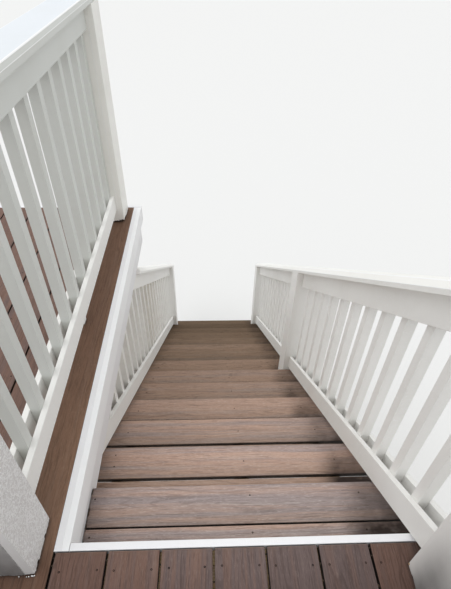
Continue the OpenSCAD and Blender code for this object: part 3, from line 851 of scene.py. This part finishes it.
# screws with domed heads and a small driver recess
screwLook = {
    "head": 0.0034, "sides": 10, "smooth": 40,
    # from below the board up and into the recess: share of the head's radius, and height over the board
    "profile": ((1.0, -0.003), (1.0, -0.0004), (0.75, 0.0003), (0.36, 0.0003), (0.3, -0.001)),
    "lines": (-0.1125, 0.4045, 0.7750),                       # across the treads
    # distances behind the front of a tread, by tread; away from its left line the second has only one
    "behindNose": {1: (0.037, 0.159), 2: (0.031, 0.075)}, "usual": (0.069, 0.215), "secondAside": (0.065,),
    "joists": (0.049, 0.271, 0.576, 0.881),                   # behind the deck's edge
    # under the wing: steps outward from a little behind that edge, and one row at the wing's end
    "wingBack": 0.019, "wingStep": 0.305, "wingCount": 5, "wingEnd": 0.015,
    "inFromEdge": 0.0195,
    "strayTread": (0.003, 0.004), "strayDeck": (0.002, 0.003),
}


def screwHead(mesh, x, y, z, turn):
    look = screwLook
    angles = [turn + 2 * math.pi * k / look["sides"] for k in range(look["sides"])]
    made = []
    for share, high in look["profile"]:
        r = look["head"] * share
        made.append([mesh.verts.new((x + r * math.cos(a), y + r * math.sin(a), z + high)) for a in angles])
    for a, b in zip(made, made[1:]):
        for k in range(look["sides"]):
            mesh.faces.new((a[k - 1], a[k], b[k], b[k - 1]))
    mesh.faces.new(made[-1])
    mesh.faces.new(list(reversed(made[0])))


def strayScrew(mesh, x, y, z, stray, rand):
    # no screw sits quite on its line or turned the same way
    x += rand.uniform(-stray[0], stray[0])
    y += rand.uniform(-stray[1], stray[1])
    screwHead(mesh, x, y, z, rand.uniform(0, 6))


def makeScrews():
    look = screwLook
    rand = random.Random(41)
    mesh = bmesh.new()
    for k in range(1, stairs["treads"] + 1):
        nose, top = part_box("tread_%02d" % k)[1].yz
        for i, x in enumerate(look["lines"]):
            spots = look["behindNose"].get(k, look["usual"])
            if k == 2 and i:
                spots = look["secondAside"]
            for back in spots:
                strayScrew(mesh, x, nose - back, top, look["strayTread"], rand)
    addPiece("treadScrews", mesh, ["screw"], smooth=look["smooth"])

    mesh = bmesh.new()
    lo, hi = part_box("deck_boards")
    landing = [stairs["deckEdge"] - back for back in look["joists"]]
    wingFrom = stairs["deckEdge"] - look["wingBack"]
    wing = [wingFrom + k * look["wingStep"] for k in range(1, look["wingCount"] + 1)]
    wing.append(hi.y - look["wingEnd"])
    for k in range(len(deckBoards)):
        if k == stairs["strip"]:
            continue          # the strip beside the trim is held from below
        x = lo.x + k * stairs["boardStep"]
        right = min(x + stairs["boardWide"], hi.x)
        for y in landing + (wing if k < stairs["strip"] else []):
            for side in (x + look["inFromEdge"], right - look["inFromEdge"]):
                strayScrew(mesh, side, y, hi.z, look["strayDeck"], rand)
    addPiece("deckScrews", mesh, ["screw"], smooth=look["smooth"])


# bits of filler at the near guard post, a split at the right post, and dirt lodged in the gaps
bitsLook = {
    "smooth": 60,
    "filler": 8, "fillerSize": (0.0010, 0.0024), "fillerIn": 0.003, "fillerSpread": 0.05,
    "fillerOut": (-0.001, 0.004),
    "split": (0.003, 0.004, 0.006), "splitAt": (0.0005, -0.003, 0.006),
    "perGap": 3, "gapBack": 0.012, "gapSpread": 0.3, "gapDeep": (0.005, 0.010), "gapLong": (0.002, 0.005),
    "gapHigh": 0.002, "gapTight": 1.15,
    "besideTread": 18, "besideSize": (0.0015, 0.0035), "besideIn": 0.01,
}


def lump(mesh, x, y, z, size, rand):
    # a small uneven crumb; size is its half width, half length and half height
    made = bmesh.ops.create_icosphere(mesh, subdivisions=1, radius=1.0)["verts"]
    for v in made:
        grow = rand.uniform(0.7, 1.0)
        v.co = Vector((x + v.co.x * size[0] * grow, y + v.co.y * size[1] * grow, z + v.co.z * size[2] * grow))


def makeFiller(rand):
    look = bitsLook
    lo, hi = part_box("guard_posts")
    mesh = bmesh.new()
    for _ in range(look["filler"]):
        size = rand.uniform(*look["fillerSize"])
        x = hi.x - look["fillerIn"] - rand.random() ** 2 * look["fillerSpread"]
        y = lo.y - rand.uniform(*look["fillerOut"])
        lump(mesh, x, y, lo.z + size * 0.7, (size * 1.3, size, size * 0.8), rand)
    # a split of bare wood at the corner of the right post
    lo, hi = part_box("right_top_post")
    before = len(mesh.faces)
    right, along, up = look["splitAt"]
    lump(mesh, lo.x + right, hi.y + along, stairs["deckTop"] + up, look["split"], rand)
    for face in list(mesh.faces)[before:]:
        face.material_index = 1
    addPiece("fillerBits", mesh, ["trim", "lumberZ"], smooth=look["smooth"])


def makeCrumbs(rand):
    look = bitsLook
    mesh = bmesh.new()
    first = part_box("deck_boards")[0].x
    gap = (stairs["boardStep"] - stairs["boardWide"]) / 2
    for k in range(stairs["strip"] + 1, len(deckBoards)):
        x = first + k * stairs["boardStep"] - gap
        for _ in range(look["perGap"]):
            y = stairs["deckEdge"] - look["gapBack"] - rand.random() ** 2 * look["gapSpread"]
            z = stairs["deckTop"] - rand.uniform(*look["gapDeep"])
            size = (gap * look["gapTight"], rand.uniform(*look["gapLong"]), look["gapHigh"])
            lump(mesh, x, y, z, size, rand)
    # a line of dirt where the first tread meets the fascia
    lo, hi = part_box("tread_01")
    for _ in range(look["besideTread"]):
        size = rand.uniform(*look["besideSize"])
        y = rand.uniform(lo.y + look["besideIn"], hi.y - look["besideIn"])
        lump(mesh, lo.x + size * 0.6, y, hi.z + size * 0.3,
             (size, size * rand.uniform(1, 3), size * 0.7), rand)
    addPiece("gapCrumbs", mesh, ["core"], smooth=look["smooth"])


def makeBits():
    rand = random.Random(7)
    makeFiller(rand)
    makeCrumbs(rand)


makeCaps()
print("caps made")
makeSleeves()
print("post sleeves made")
makeScrews()
print("screws made")
makeBits()
print("filler and crumbs made")


# floor and light

studio = {
    "floor": (232, 232, 231), "floorBounce": (200, 200, 199),
    "floorWide": 300, "floorUnder": 0.001, "floorRough": 0.95,
    # how bright the sky is level with the stairs, what is added overhead, and what is added ahead
    "sky": 0.72, "skyUp": 0.24, "skyAhead": -0.05, "skyTint": (0.985, 0.995, 1.0, 1),
    "sun": 0.26, "sunWide": 60, "sunFrom": (-0.32, -0.2, 1.0),
}


def seenPlainly(tree):
    # 1 for what the camera sees directly, in a mirror or through glass, 0 for light that falls on the stairs
    light = put(tree, "LightPath").outputs
    plain = calc(tree, "MAXIMUM", light["Is Camera Ray"], light["Is Glossy Ray"])
    return calc(tree, "MAXIMUM", plain, light["Is Transmission Ray"])


def makeFloor():
    mat, tree, shader, place = startMaterial("floorPaper")
    colour = blendColour(tree, seenPlainly(tree), linear(studio["floorBounce"]), linear(studio["floor"]))
    tree.links.new(colour, shader.inputs["Base Color"])
    shader.inputs["Roughness"].default_value = studio["floorRough"]
    bpy.ops.mesh.primitive_plane_add(size=studio["floorWide"], location=(0, 0, -studio["floorUnder"]))
    floor = bpy.context.object
    floor.name = "floor"
    floor.data.materials.append(mat)


def makeSky():
    world = bpy.data.worlds.new("studio")
    bpy.context.scene.world = world
    world.use_nodes = True
    tree = world.node_tree
    sky = tree.nodes["Background"]
    way = axesOf(tree, put(tree, "TexCoord").outputs["Generated"])
    level = calc(tree, "MULTIPLY_ADD", calc(tree, "MAXIMUM", way[2], 0.0), studio["skyUp"], studio["sky"])
    level = calc(tree, "ADD", level, times(tree, way[1], studio["skyAhead"]))
    tree.links.new(level, sky.inputs["Strength"])
    sky.inputs["Color"].default_value = studio["skyTint"]
    white = put(tree, "Background", {0: (1, 1, 1, 1), 1: 1.0})
    both = put(tree, "MixShader", {0: seenPlainly(tree), 1: sky.outputs[0], 2: white.outputs[0]})
    tree.links.new(both.outputs[0], tree.nodes["World Output"].inputs["Surface"])


def makeSun():
    lamp = bpy.data.lights.new("softSun", "SUN")
    lamp.energy = studio["sun"] * math.pi
    lamp.angle = math.radians(studio["sunWide"])
    lampObj = bpy.data.objects.new("softSun", lamp)
    lampObj.matrix_world = Vector(studio["sunFrom"]).to_track_quat("Z", "Y").to_matrix().to_4x4()
    bpy.context.scene.collection.objects.link(lampObj)


makeFloor()
makeSky()
makeSun()
bpy.context.scene.view_settings.view_transform = "Standard"
print("studio lit")
